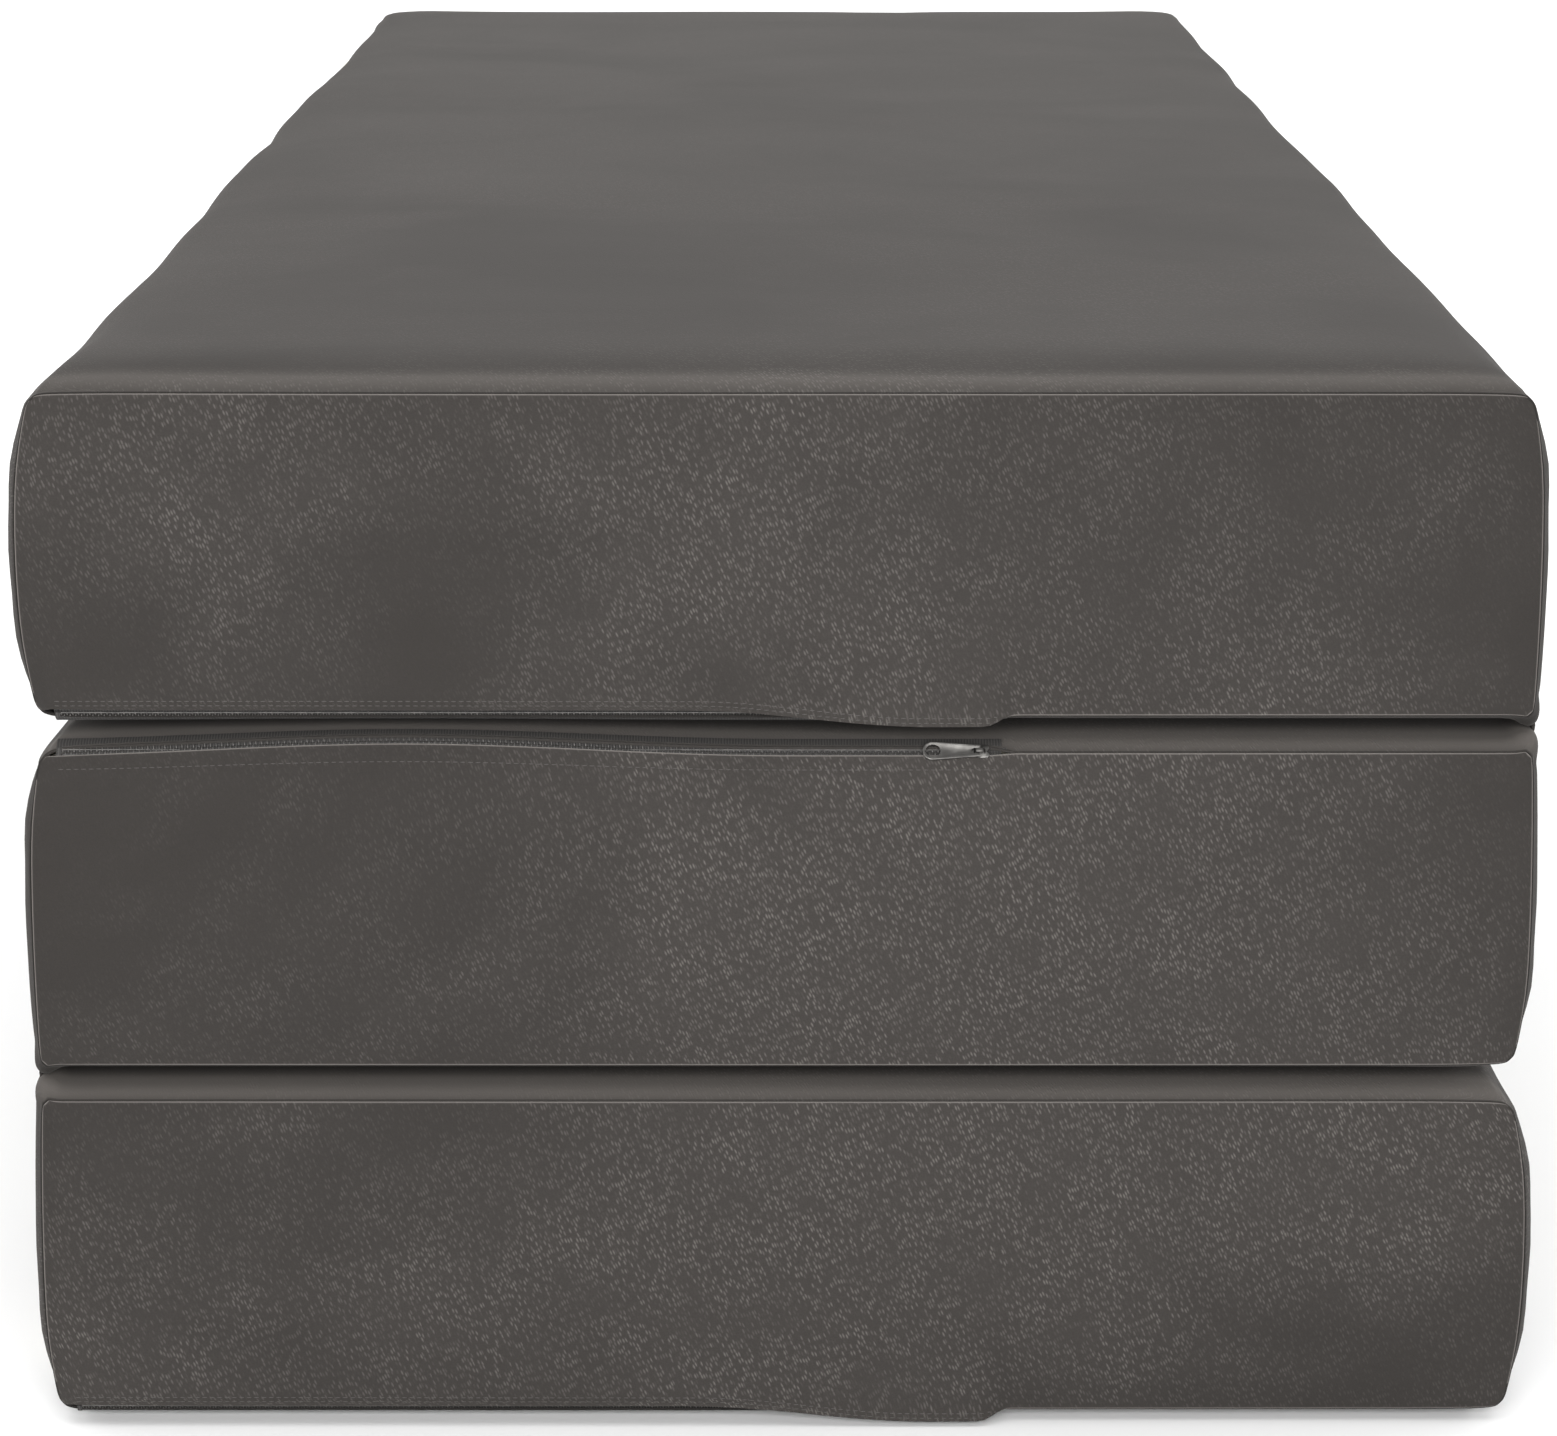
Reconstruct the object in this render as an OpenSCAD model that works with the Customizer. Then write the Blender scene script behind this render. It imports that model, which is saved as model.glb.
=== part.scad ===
// Folding sofa bed: three padded panels that lie in a stack and open, end over end, into a bed.
// X runs across the stack, Y along the panels and Z up. The front, with the zips, is at -Y.
// The origin is on the floor, under the middle of the stack.

/* [Panels] */
// Width of one panel, measured between the flats of its long sides
panel_w = 643; // [500:1:900]
// Length of one panel, which becomes the width of the opened bed
panel_l = 1600; // [800:10:2200]
// Thickness of one panel along its edges
panel_t = 150; // [120:1:220]
// Air left between the faces of two panels that lie on each other
lay_gap = 0.3; // [0.2:0.05:1]

/* [Cover] */
// Thickness of the velvet cover with its backing
cover_t = 1.2; // [0.8:0.1:1.5]
// Radius of the soft roll where the cover turns over an end of the panel
roll_r = 12; // [10:0.5:16]
// Radius of the long corners, seen from the end
corner_r = 13; // [10:0.5:14]
// Angle above the middle of the roll at which the end panel is sewn in
seam_tilt = 32; // [24:1:40]
// Width of the seam between cover and end panel
seam_w = 0.3; // [0.2:0.05:0.6]
// Rise of each lying face at its middle
crown = 2; // [1:0.1:4]
// Swell of the long sides at half height
side_swell = 4; // [2:0.1:8]
// How far the long sides are drawn in at half length
side_draw = 1.5; // [0:0.1:1.8]
// Swell of the end panels at their middle
end_swell = 4; // [3:0.1:8]

/* [Foam] */
// Room between the foam block and the cover round it
foam_fit = 0.7; // [0.5:0.05:0.9]
// Radius of the foam block's end edges
foam_r = 20; // [20:0.5:26]

/* [Zips] */
// Length of each zip opening
zip_l = 402; // [200:1:500]
// Distance from the left flat of the panel to the start of the zip
zip_start = 15; // [15:0.5:60]
// Width of the opening between the two edges of cloth
slot_w = 4.6; // [4.4:0.1:6]
// Thickness of the zip tape
tape_t = 0.5; // [0.3:0.05:0.6]
// Distance from the middle of the chain to a tape's outer edge on the cover side
tape_cover_w = 4.6; // [3:0.1:4.8]
// Distance from the middle of the chain to a tape's outer edge on the end panel side
tape_end_w = 4; // [3:0.1:4.2]
// Distance between the inner edges of the two tapes
tape_split = 1.6; // [1.4:0.1:2]
// Distance from one tooth to the next on the same row
tooth_pitch = 3; // [2.4:0.1:4]
// Half the width of the closed chain
chain_half = 1.85; // [1.6:0.05:1.9]
// Width of the cord that carries each row of teeth
chain_cord = 0.7; // [0.5:0.05:0.8]
// Height of the chain
chain_t = 1; // [0.8:0.05:1.1]
// Play round a tooth between its neighbours
tooth_play = 0.2; // [0.15:0.01:0.3]
// Length of a stop along the zip
stop_l = 2; // [1.5:0.1:3]

/* [Slider] */
// Length of the slider
slider_l = 9; // [8:0.1:12]
// Width of the slider at its wide end
slider_w = 6.8; // [6:0.1:7]
// Width of the slider at its narrow end
slider_tail_w = 5; // [4:0.1:5.6]
// Thickness of each of the slider's two plates
plate_t = 1; // [0.8:0.05:1.1]
// Width of the wedge that joins the two plates
wedge_w = 1; // [0.8:0.05:1]
// Length of the wedge that joins the two plates
wedge_l = 2.6; // [2:0.1:3]
// Distance from the zip's closed end to the middle of the slider
slider_inset = 12; // [11:0.5:20]
// Width of the arch that holds the pull
arch_w = 1.6; // [1.2:0.1:1.8]
// Thickness of the arch
arch_t = 0.8; // [0.6:0.05:0.9]

/* [Pull] */
// Length of the pull tab
pull_l = 24.7; // [18:0.1:30]
// Width of the pull tab at its free end
pull_w = 8; // [7:0.1:8.4]
// Width of the pull tab at the slider
pull_neck_w = 5; // [4.6:0.1:6]
// Thickness of the pull tab
pull_t = 1.2; // [1:0.05:1.3]
// Diameter of the round hole at the free end
pull_hole_d = 5.8; // [3:0.1:6]
// Length of the slot that the arch passes through
pull_slot_l = 3.4; // [3.3:0.05:4]
// Width of the slot that the arch passes through
pull_slot_w = 2.4; // [2.2:0.1:3]
// Play between the pull, the slider and the arch
pull_play = 0.25; // [0.2:0.01:0.3]

/* [Fold] */
// Thickness of the doubled cloth strip that joins two covers
strip_t = 1.4; // [1:0.1:2]
// How far the strip bows out between two panels
strip_bow = 2.4; // [1:0.1:3]
// Distance from an end of the panel to the end of the strip
strip_inset = 15; // [13:0.5:60]

/* [Hidden] */

velvet = "#55514d";
white_foam = "#ece6d6";
tape_black = "#2c2a29";
grey_nylon = "#8d8a86";
nickel = "#b9b6b1";

half_w = panel_w / 2;
half_l = panel_l / 2;

// A panel is [lowest level at its edges, highest level at its edges, lower rise, upper rise,
// zip side], with 1 for a zip at the top front edge and -1 for one at the bottom front edge.
stack_t = panel_t + 2 * crown;
bottom = [0, stack_t - crown, 0, crown, -1];
middle = [stack_t + lay_gap + crown, 2 * stack_t + lay_gap - crown, crown, crown, 1];
top = [2 * (stack_t + lay_gap) + crown, 3 * stack_t + 2 * lay_gap - crown, crown, crown, -1];

// Places along X of the zip opening and of what stands on it
zip_x0 = zip_start - half_w;
zip_x1 = zip_x0 + zip_l;
slot_step = 1;
slider_x = zip_x1 - slider_inset;
stop_clear = 0.5;

// Angles on the end roll, counted up from the middle of the panel's thickness
slot_angle = asin(slot_w / 2 / roll_r);
seam_angle = asin(seam_w / 2 / roll_r);
flat_tilt = 8;
turn_tilt = 60;

// Heights above the roll's middle of what lies in the zip opening
tape_fit = 0.25;
tape_r = roll_r - cover_t - tape_fit;
chain_fit = 0.1;
chain_z = tape_r + chain_fit;
plate_fit = 0.1;
top_plate_z = roll_r + plate_fit;
low_plate_z = sqrt(pow(tape_r - tape_t, 2) - pow(slider_w / 2, 2)) - plate_fit - plate_t;
pull_z = top_plate_z + plate_t + pull_play + pull_t / 2;
arch_z = pull_z + pull_t / 2 + pull_play;
round_fn = 48;

// Shares of the panel's size at which its skin has points
side_shares = [-0.4, 0.4];
length_shares = [-0.5, 0, 0.5];
corner_angles = [0, 30, 60, 90];
zip_shares = [0.3, 0.62];
foam_shares = [-0.6, 0, 0.6];
inner_ring_shares = [0.86, 0.5];
face_ring_shares = [0.7, 0.25];
inner_swell_share = 0.75;

function reversed(list) = [for (i = [len(list) - 1:-1:0]) list[i]];
function swell(share) = cos(90 * share);
function edge_share(x) = x / (half_w - corner_r);

// Places along a lying edge: the corner's start comes with the corner itself
function cover_xs() = [
    zip_x0 - slot_step, zip_x0,
    for (s = zip_shares) zip_x0 + s * zip_l,
    zip_x1, zip_x1 + slot_step,
    (zip_x1 + slot_step + half_w - corner_r) / 2,
];
function foam_xs() = [for (s = foam_shares) s * (half_w - corner_r)];

function corner_points(x, z, start) = [
    for (a = corner_angles)
        let (b = start + a)
        [x + corner_r * cos(b), z + corner_r * sin(b), cos(b), sin(b), 0]
];
function side_points(panel, side, bulge) = [
    for (s = side_shares)
        [side * (half_w + bulge * swell(s)),
         panel_middle(panel) + side * s * ((panel[1] - panel[0]) / 2 - corner_r), side, 0, 0]
];
function on_zip(panel, side, x) = side == panel[4] && x >= zip_x0 && x <= zip_x1 ? 1 : 0;

// The outline of a panel seen from the end: each point is [x, z, outward x, outward z, on the zip]
function outline(panel, xs, rise, bulge) = [
    for (x = xs)
        [x, panel[0] - rise * panel[2] * swell(edge_share(x)), 0, -1, on_zip(panel, -1, x)],
    each corner_points(half_w - corner_r, panel[0] + corner_r, -90),
    each side_points(panel, 1, bulge),
    each corner_points(half_w - corner_r, panel[1] - corner_r, 0),
    for (x = reversed(xs))
        [x, panel[1] + rise * panel[3] * swell(edge_share(x)), 0, 1, on_zip(panel, 1, x)],
    each corner_points(corner_r - half_w, panel[1] - corner_r, 90),
    each side_points(panel, -1, bulge),
    each corner_points(corner_r - half_w, panel[0] + corner_r, 180),
];

// A ring of the end roll at one angle, on a surface that lies depth inside the cover's outside.
// zip_angle moves the points on the zip, and end is -1 at the front and 1 at the rear.
function roll_ring(panel, xs, end, r, depth, tilt, zip_angle = 0) = [
    for (p = outline(panel, xs, 0, side_swell))
        let (a = tilt + (end < 0 ? zip_angle * p[4] : 0),
             inset = depth + r * (1 - sin(a)))
        [p[0] - inset * p[2], end * (half_l - depth - r * (1 - cos(a))), p[1] - inset * p[3]]
];
// A ring along the panel's length, at a share of half the length
function length_ring(panel, xs, share, depth) = [
    for (p = outline(panel, xs, swell(share), side_swell - side_draw * swell(share)))
        [p[0] - depth * p[2], share * (half_l - roll_r), p[1] - depth * p[3]]
];
// Smaller rings on the face of an end panel: one pushed out by part of its swell, one at its height
function panel_middle(panel) = (panel[0] + panel[1]) / 2;
function drawn_in(panel, p, y, shares) =
    [p[0] * shares[0], y, panel_middle(panel) + (p[2] - panel_middle(panel)) * shares[1]];
function face_ring(panel, ring, end, shares, out) =
    [for (p = ring) drawn_in(panel, p, p[1] + end * out, shares)];
function flat_ring(panel, ring, end, shares, depth) =
    [for (p = ring) drawn_in(panel, p, end * (half_l + end_swell - depth), shares)];

// Triangles between two neighbouring rings of n points. crossed takes the other diagonal.
function band(n, a, b, crossed = false) = [
    for (i = [0:n - 1])
        let (j = (i + 1) % n, a0 = a * n + i, a1 = a * n + j, b0 = b * n + i, b1 = b * n + j)
        each crossed ? [[a0, a1, b0], [a1, b1, b0]] : [[a0, b1, b0], [a0, a1, b1]]
];
// Triangles that close the first or the last ring, zigzag from one side of the panel to the other
function lid(n, base) = [
    for (k = [0:n / 2 - 2])
        each [[base + k, base + n - 2 - k, base + k + 1], [base + k, base + n - 1 - k, base + n - 2 - k]]
];
// A closed skin over rings: each end has a lid, or the ends are joined to each other. Then the second
// half of the rings runs back as the inner wall, whose diagonals lie under those of the outer one.
module skin(rings, looped) {
    n = len(rings[0]);
    count = len(rings);
    bands = [for (k = [0:count - 2]) each band(n, k, k + 1, looped && k >= count / 2)];
    last = [for (face = lid(n, (count - 1) * n)) reversed(face)];
    ends = looped ? band(n, count - 1, 0) : concat(lid(n, 0), last);
    polyhedron(points = [for (ring = rings) each ring], faces = concat(bands, ends), convexity = 4);
}

// One wrap of velvet round the two lying faces and the two long sides, open at both ends
module cover(panel) {
    xs = cover_xs();
    inner_r = roll_r - cover_t;
    rim = seam_tilt + seam_angle;
    function walls(depth, r) = [
        roll_ring(panel, xs, -1, r, depth, rim, slot_angle),
        roll_ring(panel, xs, -1, r, depth, turn_tilt),
        roll_ring(panel, xs, -1, r, depth, 90),
        for (s = length_shares) length_ring(panel, xs, s, depth),
        roll_ring(panel, xs, 1, r, depth, 90),
        roll_ring(panel, xs, 1, r, depth, turn_tilt),
        roll_ring(panel, xs, 1, r, depth, rim),
    ];
    color(velvet)
        skin(concat(walls(0, roll_r), reversed(walls(cover_t, inner_r))), true);
}

// The velvet panel sewn into an end of the wrap; the front one leaves the zip opening
module end_panel(panel, end) {
    xs = cover_xs();
    inner_r = roll_r - cover_t;
    rim = seam_tilt - seam_angle;
    outer = roll_ring(panel, xs, end, roll_r, 0, flat_tilt);
    inner = roll_ring(panel, xs, end, inner_r, cover_t, flat_tilt);
    rings = [
        flat_ring(panel, outer, end, face_ring_shares, 0),
        face_ring(panel, outer, end, inner_ring_shares, end_swell * inner_swell_share),
        outer,
        roll_ring(panel, xs, end, roll_r, 0, rim, -slot_angle),
        roll_ring(panel, xs, end, inner_r, cover_t, rim, -slot_angle),
        inner,
        face_ring(panel, inner, end, inner_ring_shares, end_swell * inner_swell_share),
        flat_ring(panel, inner, end, face_ring_shares, cover_t),
    ];
    color(velvet)
        skin(end < 0 ? rings : reversed(rings), false);
}

// The foam block, with its end edges rounded further than the cover's roll
module foam(panel) {
    xs = foam_xs();
    depth = cover_t + foam_fit;
    function end_rings(end) =
        let (flat = roll_ring(panel, xs, end, foam_r, depth, flat_tilt))
        [
            flat_ring(panel, flat, end, face_ring_shares, depth),
            face_ring(panel, flat, end, inner_ring_shares, end_swell * inner_swell_share),
            flat,
            roll_ring(panel, xs, end, foam_r, depth, (flat_tilt + 90) / 2),
            roll_ring(panel, xs, end, foam_r, depth, 90),
        ];
    color(white_foam)
        skin(concat(
            end_rings(-1),
            [for (s = length_shares) length_ring(panel, xs, s, depth)],
            reversed(end_rings(1))), false);
}

// Lays its children in the zip opening: X along the zip, Z out of the roll, from the roll's middle
module on_roll(panel) {
    level = panel[4] > 0 ? panel[1] - roll_r : panel[0] + roll_r;
    translate([0, roll_r - half_l, level])
        rotate([90 - panel[4] * seam_tilt, 0, 0])
            children();
}
// Draws a flat shape across the zip and carries it along X
module along_zip(x0, x1) {
    translate([x0, 0, 0])
        rotate([90, 0, 90])
            linear_extrude(height = x1 - x0)
                children();
}

// Two tapes that follow the roll under the edges of cloth
module zip_tape(panel) {
    side = panel[4];
    color(tape_black)
        on_roll(panel)
            for (part = [[side, tape_cover_w], [-side, tape_end_w]])
                along_zip(zip_x0 - slot_step, zip_x1 + slot_step)
                    difference() {
                        intersection() {
                            circle(r = tape_r, $fn = round_fn);
                            translate([min(part[0] * tape_split / 2, part[0] * part[1]), 0])
                                square([part[1] - tape_split / 2, tape_r]);
                        }
                        circle(r = tape_r - tape_t, $fn = round_fn);
                    }
}

// One row of teeth on its cord, as an outline: the teeth reach across the middle of the chain
chain_x0 = zip_x0 + 2 * stop_clear + stop_l;
chain_x1 = slider_x;
tooth_w = tooth_pitch / 2 - tooth_play;
tooth_reach = chain_half - chain_cord - tooth_play;
tooth_count = floor((chain_x1 - chain_x0 - tooth_pitch / 2) / tooth_pitch);
module chain_row(side) {
    offset_x = side > 0 ? tooth_play / 2 : (tooth_pitch + tooth_play) / 2;
    root = side * (chain_half - chain_cord);
    tip = -side * tooth_reach;
    teeth = [
        for (k = [0:tooth_count - 1])
            let (x = chain_x0 + k * tooth_pitch + offset_x)
            each [[x, root], [x, tip], [x + tooth_w, tip], [x + tooth_w, root]]
    ];
    back = [[chain_x1, side * chain_half], [chain_x0, side * chain_half]];
    linear_extrude(height = chain_t)
        polygon(concat([[chain_x0, root]], teeth, [[chain_x1, root]], back));
}
module zip_chain(panel) {
    color(grey_nylon)
        on_roll(panel)
            translate([0, 0, chain_z])
                for (side = [-1, 1]) chain_row(side);
}

// A clamp across both rows at the open end, and one on each tape at the closed end
module zip_stops(panel) {
    closed_x = zip_x1 - stop_clear - stop_l;
    clamp_w = chain_half - tape_split / 2;
    color(nickel)
        on_roll(panel)
            translate([0, 0, chain_z]) {
                translate([zip_x0 + stop_clear, -chain_half, 0])
                    cube([stop_l, 2 * chain_half, chain_t]);
                for (y = [-chain_half, tape_split / 2])
                    translate([closed_x, y, 0])
                        cube([stop_l, clamp_w, chain_t]);
            }
}

// A slider plate: wide where the rows part, narrow where they leave it closed
module slider_plate() {
    linear_extrude(height = plate_t)
        difference() {
            polygon([
                [-slider_l / 2, -slider_tail_w / 2], [slider_l / 2 - wedge_l, -slider_w / 2],
                [slider_l / 2, -slider_tail_w / 2], [slider_l / 2, slider_tail_w / 2],
                [slider_l / 2 - wedge_l, slider_w / 2], [-slider_l / 2, slider_tail_w / 2],
            ]);
            translate([slider_l / 2, 0])
                circle(d = slider_tail_w / 2, $fn = round_fn);
        }
}
arch_in = pull_t / 2 + pull_play;
arch_out = pull_slot_l - arch_in;
// Two plates on a wedge, with the arch that the pull hangs in
module zip_slider(panel) {
    base_z = top_plate_z + plate_t;
    arch_h = arch_z + arch_t - base_z;
    color(nickel)
        on_roll(panel)
            translate([slider_x, 0, 0]) {
                translate([0, 0, low_plate_z]) slider_plate();
                translate([0, 0, top_plate_z]) slider_plate();
                translate([wedge_l / 4, -wedge_w / 2, low_plate_z])
                    cube([wedge_l, wedge_w, base_z - low_plate_z]);
                translate([-arch_out, -arch_w / 2, base_z])
                    difference() {
                        cube([2 * arch_out, arch_w, arch_h]);
                        translate([arch_t, -arch_w / 2, -arch_t])
                            cube([2 * (arch_out - arch_t), 2 * arch_w, arch_h]);
                    }
            }
}

// A flat tab that narrows to the slider, with a round hole to grip and a slot round the arch
module zip_pull(panel) {
    grip_x = -(pull_l - pull_w / 2 - pull_t / 2);
    color(nickel)
        on_roll(panel)
            translate([slider_x, 0, pull_z]) {
                translate([0, 0, -pull_t / 2])
                    linear_extrude(height = pull_t)
                        difference() {
                            union() {
                                translate([grip_x, 0]) circle(d = pull_w, $fn = round_fn);
                                polygon([
                                    [grip_x, -pull_w / 2], [0, -pull_neck_w / 2],
                                    [0, pull_neck_w / 2], [grip_x, pull_w / 2],
                                ]);
                            }
                            translate([grip_x, 0]) circle(d = pull_hole_d, $fn = round_fn);
                            translate([-pull_slot_l - pull_t / 2, -pull_slot_w / 2])
                                square([pull_slot_l + pull_t, pull_slot_w]);
                        }
                rotate([90, 0, 0])
                    cylinder(d = pull_t, h = pull_neck_w, center = true, $fn = round_fn);
            }
}

// The doubled cloth that joins the covers of two panels, bowed out between them
strip_angle = 45;
strip_turn = 2 * asin(strip_t / 2 / (corner_r + seam_w));
function notch_point(x, z, side, up, turn) = [
    side * (x + (corner_r + seam_w) * cos(strip_angle + turn)),
    z + up * (corner_r + seam_w) * sin(strip_angle + turn),
];
module hinge_strip(lower, upper, side) {
    x = half_w - corner_r;
    low_z = lower[1] - corner_r;
    high_z = upper[0] + corner_r;
    outer_low = notch_point(x, low_z, side, 1, 0);
    outer_high = notch_point(x, high_z, side, -1, 0);
    fold_z = (lower[1] + upper[0]) / 2;
    fold_x = outer_low[0] + side * strip_bow;
    color(velvet)
        translate([0, half_l - strip_inset, 0])
            rotate([90, 0, 0])
                linear_extrude(height = 2 * (half_l - strip_inset))
                    polygon([
                        outer_low, [fold_x, fold_z], outer_high,
                        notch_point(x, high_z, side, -1, strip_turn),
                        [fold_x - side * strip_t, fold_z],
                        notch_point(x, low_z, side, 1, strip_turn),
                    ]);
}

module bottom_foam() { foam(bottom); }
module bottom_cover() { cover(bottom); }
module bottom_front_panel() { end_panel(bottom, -1); }
module bottom_rear_panel() { end_panel(bottom, 1); }
module bottom_zip_tape() { zip_tape(bottom); }
module bottom_zip_chain() { zip_chain(bottom); }
module bottom_zip_stops() { zip_stops(bottom); }
module bottom_zip_slider() { zip_slider(bottom); }
module bottom_zip_pull() { zip_pull(bottom); }
module middle_foam() { foam(middle); }
module middle_cover() { cover(middle); }
module middle_front_panel() { end_panel(middle, -1); }
module middle_rear_panel() { end_panel(middle, 1); }
module middle_zip_tape() { zip_tape(middle); }
module middle_zip_chain() { zip_chain(middle); }
module middle_zip_stops() { zip_stops(middle); }
module middle_zip_slider() { zip_slider(middle); }
module middle_zip_pull() { zip_pull(middle); }
module top_foam() { foam(top); }
module top_cover() { cover(top); }
module top_front_panel() { end_panel(top, -1); }
module top_rear_panel() { end_panel(top, 1); }
module top_zip_tape() { zip_tape(top); }
module top_zip_chain() { zip_chain(top); }
module top_zip_stops() { zip_stops(top); }
module top_zip_slider() { zip_slider(top); }
module top_zip_pull() { zip_pull(top); }
module left_hinge_strip() { hinge_strip(bottom, middle, -1); }
module right_hinge_strip() { hinge_strip(middle, top, 1); }

bottom_foam();
bottom_cover();
bottom_front_panel();
bottom_rear_panel();
bottom_zip_tape();
bottom_zip_chain();
bottom_zip_stops();
bottom_zip_slider();
bottom_zip_pull();
middle_foam();
middle_cover();
middle_front_panel();
middle_rear_panel();
middle_zip_tape();
middle_zip_chain();
middle_zip_stops();
middle_zip_slider();
middle_zip_pull();
top_foam();
top_cover();
top_front_panel();
top_rear_panel();
top_zip_tape();
top_zip_chain();
top_zip_stops();
top_zip_slider();
top_zip_pull();
left_hinge_strip();
right_hinge_strip();
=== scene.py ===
import math

import bpy
from mathutils import Matrix, Vector, noise


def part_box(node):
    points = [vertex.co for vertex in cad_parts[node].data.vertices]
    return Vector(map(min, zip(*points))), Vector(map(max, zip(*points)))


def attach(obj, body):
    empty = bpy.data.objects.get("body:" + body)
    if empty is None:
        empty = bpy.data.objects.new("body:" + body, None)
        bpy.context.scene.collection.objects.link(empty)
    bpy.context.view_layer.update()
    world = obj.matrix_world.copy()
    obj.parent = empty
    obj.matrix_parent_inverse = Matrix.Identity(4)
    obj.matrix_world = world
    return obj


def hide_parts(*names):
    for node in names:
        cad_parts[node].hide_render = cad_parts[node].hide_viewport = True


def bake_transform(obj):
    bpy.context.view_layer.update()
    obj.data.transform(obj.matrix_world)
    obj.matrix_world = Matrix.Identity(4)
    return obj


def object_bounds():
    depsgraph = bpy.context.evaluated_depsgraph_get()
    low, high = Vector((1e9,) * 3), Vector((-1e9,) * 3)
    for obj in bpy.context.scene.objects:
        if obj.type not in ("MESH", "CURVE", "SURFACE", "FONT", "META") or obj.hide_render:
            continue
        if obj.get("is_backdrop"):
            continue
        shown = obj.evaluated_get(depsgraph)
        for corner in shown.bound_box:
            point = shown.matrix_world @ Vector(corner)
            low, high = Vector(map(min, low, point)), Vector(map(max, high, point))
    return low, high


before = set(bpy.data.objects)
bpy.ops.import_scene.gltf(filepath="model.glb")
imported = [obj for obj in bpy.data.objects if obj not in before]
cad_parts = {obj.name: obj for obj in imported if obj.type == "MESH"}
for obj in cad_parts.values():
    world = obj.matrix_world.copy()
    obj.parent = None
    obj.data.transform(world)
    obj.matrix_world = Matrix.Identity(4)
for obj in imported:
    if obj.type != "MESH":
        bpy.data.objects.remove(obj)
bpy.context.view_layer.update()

bpy.ops.object.select_all(action="DESELECT")

# Studio: a white floor that runs to the horizon, a wide soft box above, one over the floor behind, and
# one before each side of the bed. The camera looks down at the zip end, from 1.7 m.
camera_place = Vector((-0.0013, -2.532, 0.781))
camera_pitch = math.radians(10.42)
camera_lens = 98.2
camera_shift = -0.22
bpy.ops.object.camera_add(location=camera_place, rotation=(math.pi / 2 - camera_pitch, 0, 0))
camera = bpy.context.object
camera.data.lens = camera_lens
camera.data.shift_y = camera_shift
camera.data.clip_end = 200
bpy.context.scene.camera = camera

floor_reach = 60
bpy.ops.mesh.primitive_plane_add(size=2 * floor_reach)
floor = bpy.context.object
floor.name = "studio_floor"
floor_paint = bpy.data.materials.new("floor_paint")
floor_paint.use_nodes = True
floor_shader = floor_paint.node_tree.nodes["Principled BSDF"]
floor_shader.inputs["Base Color"].default_value = (0.9, 0.9, 0.9, 1)
floor_shader.inputs["Roughness"].default_value = 0.9
floor.data.materials.append(floor_paint)
floor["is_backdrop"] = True

world = bpy.data.worlds.new("studio_air")
world.use_nodes = True
world.node_tree.nodes["Background"].inputs["Color"].default_value = (1, 1, 1, 1)
world.node_tree.nodes["Background"].inputs["Strength"].default_value = 0.32
bpy.context.scene.world = world
bpy.context.scene.view_settings.view_transform = "Standard"

soft_boxes = {
    "overhead": ((0, 0.3, 5), (0, 0.3, 0), (8, 8), 295),
    "behind": ((0, 6, 3.5), (0, 6, 0), (12, 5), 330),
    "front": ((-0.1, -3.2, 1.0), (0, -0.8, 0.25), (2.6, 1.2), 94),
    "right": ((3.0, 0.4, 1.2), (0.3, 0.3, 0.25), (3.2, 1.4), 44),
    "left": ((-3.0, 0.4, 1.2), (-0.3, 0.3, 0.25), (3.2, 1.4), 40),
    "rear": ((0.2, 3.6, 0.9), (0, 0.8, 0.2), (2.6, 1.0), 9),
}
for name, (place, aim, size, watts) in soft_boxes.items():
    bpy.ops.object.light_add(type="AREA", location=place)
    lamp = bpy.context.object
    lamp.name = "soft_box_" + name
    lamp.rotation_euler = (Vector(aim) - Vector(place)).to_track_quat("-Z", "Y").to_euler()
    lamp.data.shape = "RECTANGLE"
    lamp.data.size, lamp.data.size_y = size
    lamp.data.energy = watts

# Velvet covers: each is one wrap of short-pile velvet round a foam panel, closed at both ends by a
# panel of the same cloth that is sewn in with a plain seam. The foam fills them, so the faces swell
# between the seams and lie flat on each other. Over the outer zips the front panel hangs as a flap.
panel_names = ("bottom", "middle", "top")
# A zip runs along the lower edge of a front panel (-1) or along its upper one (1)
zip_side = {"bottom": -1, "middle": 1, "top": -1}
# The long edges that a hinge strip holds: the panel, its left or right side, its lower or upper edge
hinge_corners = {("bottom", -1, 1), ("middle", -1, -1), ("middle", 1, 1), ("top", 1, -1)}
half_w, half_l = 0.3215, 0.8
crown, end_swell, end_reach = 0.002, 0.004, 0.03
cloth_t, cloth_rim = 0.0012, 0.0004
roll_r, roll_steps = 0.012, 7
cell_x, cell_y, cell_z = 0.02, 0.025, 0.019
hem_cuts = (0.0135, 0.0165)
seam_tilt, rest_tilt = math.radians(32), math.radians(62)
seam_y = half_l - roll_r * (1 - math.cos(seam_tilt))
seam_half_w, seam_depth, seam_ridge = 0.0003, 0.0011, 0.0003
zip_x0, zip_x1, slot_ease = -0.3065, 0.089, 0.009
wrap_slot = {"bottom": 0.0008, "middle": 0.0023, "top": 0.0008}
front_slot = 0.0009
flap_edge, flap_stand, flap_rise = 0.0098, 0.0043, 0.018
flap_sag, sag_x0, sag_x1, sag_left, sag_right = 0.0075, 0.0585, 0.0880, 0.095, 0.012
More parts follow.
